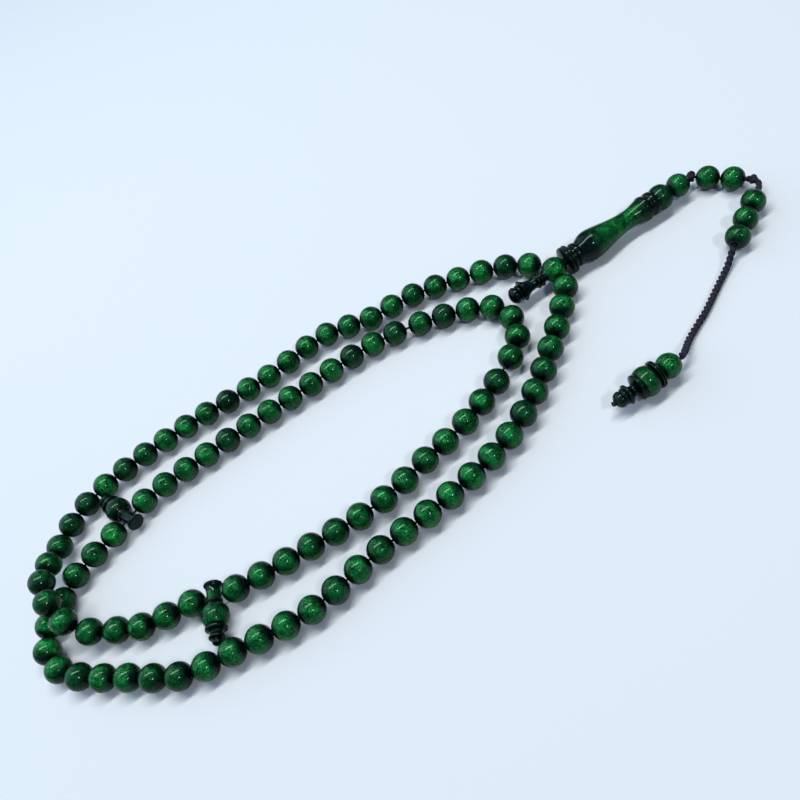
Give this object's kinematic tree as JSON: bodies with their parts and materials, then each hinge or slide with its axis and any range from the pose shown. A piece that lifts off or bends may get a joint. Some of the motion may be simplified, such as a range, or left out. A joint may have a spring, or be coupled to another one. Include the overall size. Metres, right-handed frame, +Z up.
{
  "type": "misbaha prayer beads",
  "caption": "Closed string of round glossy prayer beads with two dividers, a long turned imame, and a beaded tail ending in a turned ornament.",
  "frame": {"origin": "on the table, under the middle of the laid-out strand", "axes": "+X along the strand's length towards the imame and tail, +Y across it away from the end ornament, +Z up from the table"},
  "size_m": [0.2632, 0.0958, 0.0157],
  "materials": {
    "bead": "gloss",
    "turned": "gloss",
    "thread": "matte"
  },
  "bodies": {
    "loop": {"beads_01_to_03": "bead", "beads_04_to_06": "bead", "beads_07_to_09": "bead", "beads_10_to_12": "bead", "beads_13_to_15": "bead", "beads_16_to_18": "bead", "beads_19_to_21": "bead", "beads_22_to_24": "bead", "beads_25_to_27": "bead", "beads_28_to_30": "bead", "beads_35_to_37": "bead", "beads_38_to_40": "bead", "beads_41_to_43": "bead", "beads_44_to_46": "bead", "beads_47_to_49": "bead", "beads_50_to_52": "bead", "beads_53_to_55": "bead", "beads_56_to_58": "bead", "beads_59_to_61": "bead", "beads_62_to_64": "bead", "beads_70_to_72": "bead", "beads_73_to_75": "bead", "beads_76_to_78": "bead", "beads_79_to_81": "bead", "beads_82_to_84": "bead", "beads_85_to_87": "bead", "beads_88_to_90": "bead", "beads_91_to_93": "bead", "beads_94_to_96": "bead", "beads_97_to_99": "bead", "loop_string_1": "thread", "loop_string_2": "thread", "loop_string_3": "thread"},
    "divider_1": {"divider_1": "turned"},
    "divider_2": {"divider_2": "turned"},
    "junction": {"junction_bead": "turned"},
    "core": {"core_thread": "thread"},
    "imame": {"imame": "turned"},
    "tail_bead_1": {"tail_bead_1": "bead"},
    "tail_upper": {"tail_thread_1": "thread"},
    "tail_bead_2": {"tail_bead_2": "bead"},
    "tail_bead_3": {"tail_bead_3": "bead"},
    "tail_lower": {"tail_thread_2": "thread"},
    "tail_bead_4": {"tail_bead_4": "bead"},
    "tail_bead_5": {"tail_bead_5": "bead"},
    "tail_bead_6": {"tail_bead_6": "bead"},
    "cord": {"tail_cord": "thread"},
    "ornament": {"ornament_bead": "bead", "ornament_thread": "thread"},
    "ornament_end": {"ornament_disc": "turned", "ornament_finial": "turned"},
    "bead_31": {"bead_31": "bead"},
    "bead_32": {"bead_32": "bead"},
    "bead_33": {"bead_33": "bead"},
    "bead_34": {"bead_34": "bead"},
    "bead_65": {"bead_65": "bead"},
    "bead_66": {"bead_66": "bead"},
    "bead_67": {"bead_67": "bead"},
    "bead_68": {"bead_68": "bead"},
    "bead_69": {"bead_69": "bead"}
  },
  "joints": [
    {"name": "divider_1_swing", "type": "hinge", "parent": "loop", "child": "divider_1", "pos_m": [-0.07732, -0.01948, 0.004], "axis": [-0.9481, 0.3179, 0], "range_deg": [0, 165]},
    {"name": "divider_2_swing", "type": "hinge", "parent": "loop", "child": "divider_2", "pos_m": [-0.09177, 0.02395, 0.004], "axis": [0.9402, 0.3405, 0], "range_deg": [0, 165]},
    {"name": "junction_swing", "type": "hinge", "parent": "loop", "child": "junction", "pos_m": [0.0633, 0.00927, 0.00505], "axis": [0, 0, 1], "range_deg": [-3, 3]},
    {"name": "imame_swing", "type": "hinge", "parent": "junction", "child": "core", "pos_m": [0.0633, 0.00927, 0.00505], "axis": [0, 0, 1], "range_deg": [-4, 12]},
    {"name": "imame_spin", "type": "hinge", "parent": "core", "child": "imame", "pos_m": [0.0883, 0.00927, 0.00505], "axis": [1, 0, 0], "continuous": true},
    {"name": "tail_bead_1_spin", "type": "hinge", "parent": "core", "child": "tail_bead_1", "pos_m": [0.113, 0.00927, 0.00505], "axis": [1, 0, 0], "continuous": true},
    {"name": "tail_bend_1", "type": "hinge", "parent": "core", "child": "tail_upper", "pos_m": [0.11715, 0.00927, 0.00505], "axis": [0, 0, 1], "range_deg": [-2, 30]},
    {"name": "tail_bead_2_spin", "type": "hinge", "parent": "tail_upper", "child": "tail_bead_2", "pos_m": [0.1222, 0.00597, 0.0038], "axis": [0.5807, -0.8141, 0], "continuous": true},
    {"name": "tail_bead_3_spin", "type": "hinge", "parent": "tail_upper", "child": "tail_bead_3", "pos_m": [0.12667, -0.0003, 0.0038], "axis": [0.5807, -0.8141, 0], "continuous": true},
    {"name": "tail_bend_2", "type": "hinge", "parent": "tail_upper", "child": "tail_lower", "pos_m": [0.12908, -0.00367, 0.0038], "axis": [0, 0, 1], "range_deg": [-3, 35]},
    {"name": "tail_bead_4_spin", "type": "hinge", "parent": "tail_lower", "child": "tail_bead_4", "pos_m": [0.1232, -0.01243, 0.0038], "axis": [-0.866, -0.5, 0], "continuous": true},
    {"name": "tail_bead_5_spin", "type": "hinge", "parent": "tail_lower", "child": "tail_bead_5", "pos_m": [0.11653, -0.01628, 0.0038], "axis": [-0.866, -0.5, 0], "continuous": true},
    {"name": "tail_bead_6_spin", "type": "hinge", "parent": "tail_lower", "child": "tail_bead_6", "pos_m": [0.10986, -0.02013, 0.0038], "axis": [-0.866, -0.5, 0], "continuous": true},
    {"name": "cord_bend", "type": "hinge", "parent": "tail_lower", "child": "cord", "pos_m": [0.10627, -0.0222, 0.0038], "axis": [0, 0, 1], "range_deg": [-4, 30]},
    {"name": "ornament_bend", "type": "hinge", "parent": "cord", "child": "ornament", "pos_m": [0.06735, -0.04333, 0.00455], "axis": [0, 0, 1], "range_deg": [-8, 40]},
    {"name": "ornament_spin", "type": "hinge", "parent": "ornament", "child": "ornament_end", "pos_m": [0.0553, -0.04333, 0.00455], "axis": [-1, 0, 0], "continuous": true},
    {"name": "bead_31_spin", "type": "hinge", "parent": "loop", "child": "bead_31", "pos_m": [-0.09953, -0.01396, 0.004], "axis": [0.9297, -0.3681, -0.0057], "continuous": true},
    {"name": "bead_32_spin", "type": "hinge", "parent": "loop", "child": "bead_32", "pos_m": [-0.09172, -0.0159, 0.004], "axis": [0.978, -0.2086, 0], "continuous": true},
    {"name": "bead_33_spin", "type": "hinge", "parent": "loop", "child": "bead_33", "pos_m": [-0.08379, -0.01731, 0.004], "axis": [0.9641, -0.2656, 0], "continuous": true},
    {"name": "bead_34_spin", "type": "hinge", "parent": "loop", "child": "bead_34", "pos_m": [-0.07085, -0.02165, 0.004], "axis": [0.9656, -0.2601, 0], "continuous": true},
    {"name": "bead_65_spin", "type": "hinge", "parent": "loop", "child": "bead_65", "pos_m": [-0.07737, 0.02724, 0.004], "axis": [-0.9962, -0.0873, 0], "continuous": true},
    {"name": "bead_66_spin", "type": "hinge", "parent": "loop", "child": "bead_66", "pos_m": [-0.08536, 0.02627, 0.004], "axis": [-0.9654, -0.2606, 0], "continuous": true},
    {"name": "bead_67_spin", "type": "hinge", "parent": "loop", "child": "bead_67", "pos_m": [-0.09819, 0.02162, 0.004], "axis": [-0.9465, -0.3228, 0], "continuous": true},
    {"name": "bead_68_spin", "type": "hinge", "parent": "loop", "child": "bead_68", "pos_m": [-0.10589, 0.01927, 0.004], "axis": [-0.9426, -0.3339, 0], "continuous": true},
    {"name": "bead_69_spin", "type": "hinge", "parent": "loop", "child": "bead_69", "pos_m": [-0.11335, 0.01625, 0.004], "axis": [-0.8516, -0.5242, 0], "continuous": true}
  ]
}
